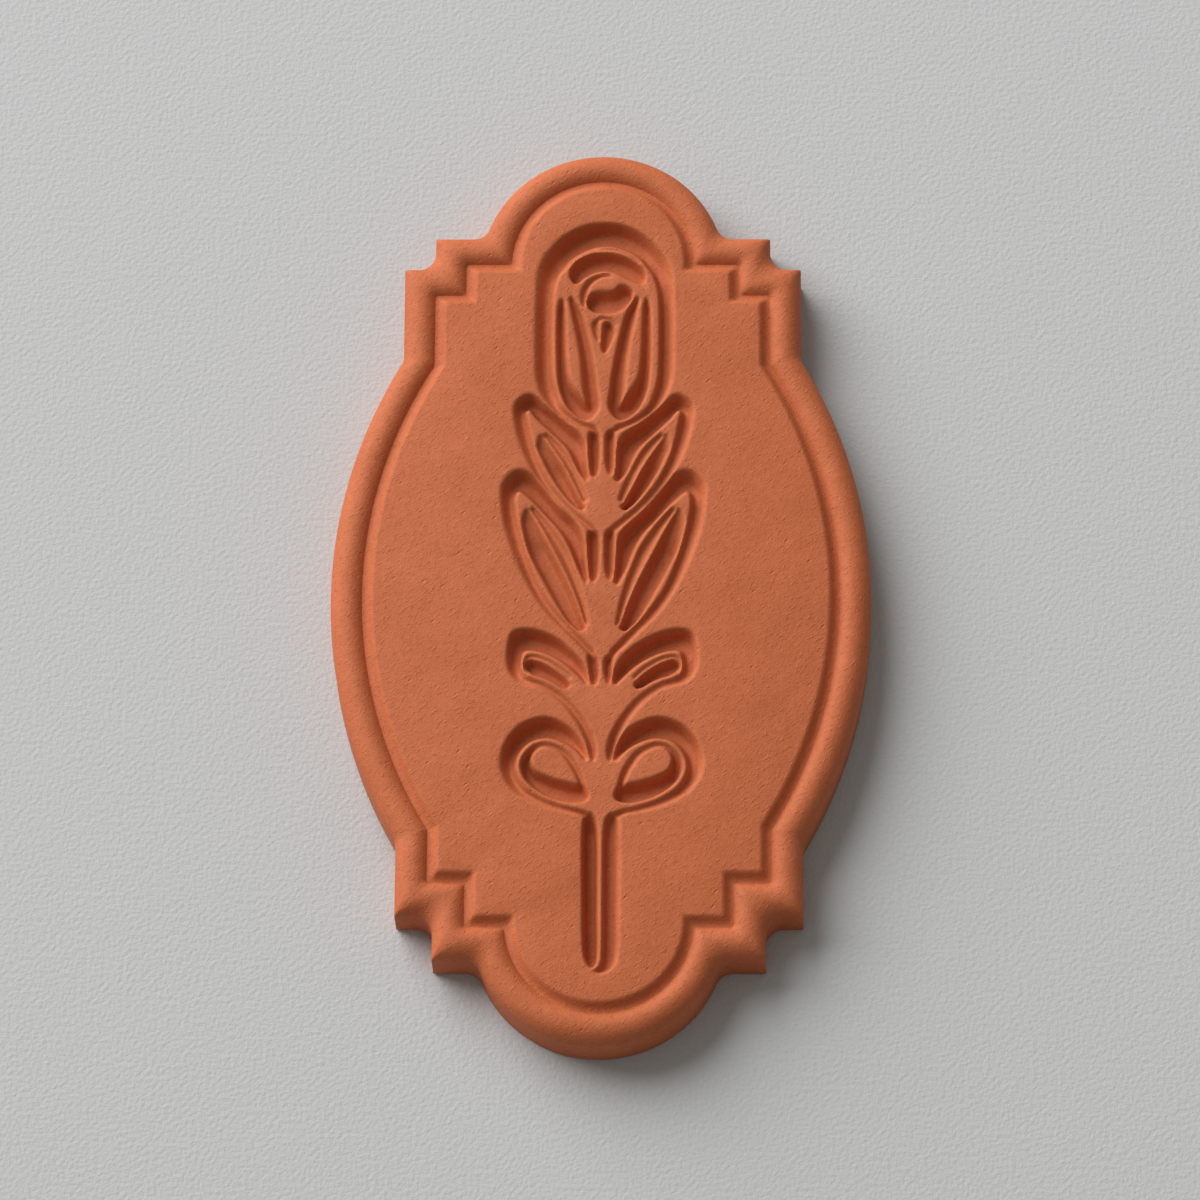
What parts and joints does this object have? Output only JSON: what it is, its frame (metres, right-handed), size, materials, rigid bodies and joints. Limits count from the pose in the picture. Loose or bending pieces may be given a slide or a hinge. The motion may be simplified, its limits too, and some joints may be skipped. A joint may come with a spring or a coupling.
{
  "type": "clay plaque",
  "caption": "Flat oblong clay plaque with a stepped and bowed outline, a bead moulding round its edge and a long-stemmed rose pressed into its face.",
  "frame": {"origin": "centre of the box round the plaque, on the flat back face", "axes": "+Z out of the pressed face, +Y along the length towards the rosebud, +X to the right seen from the front"},
  "size_m": [0.04, 0.07, 0.0046],
  "materials": {
    "terracotta_clay": "matt unglazed clay with a fine grain"
  },
  "bodies": {
    "root": {"clay_plaque": "terracotta_clay"}
  },
  "joints": []
}
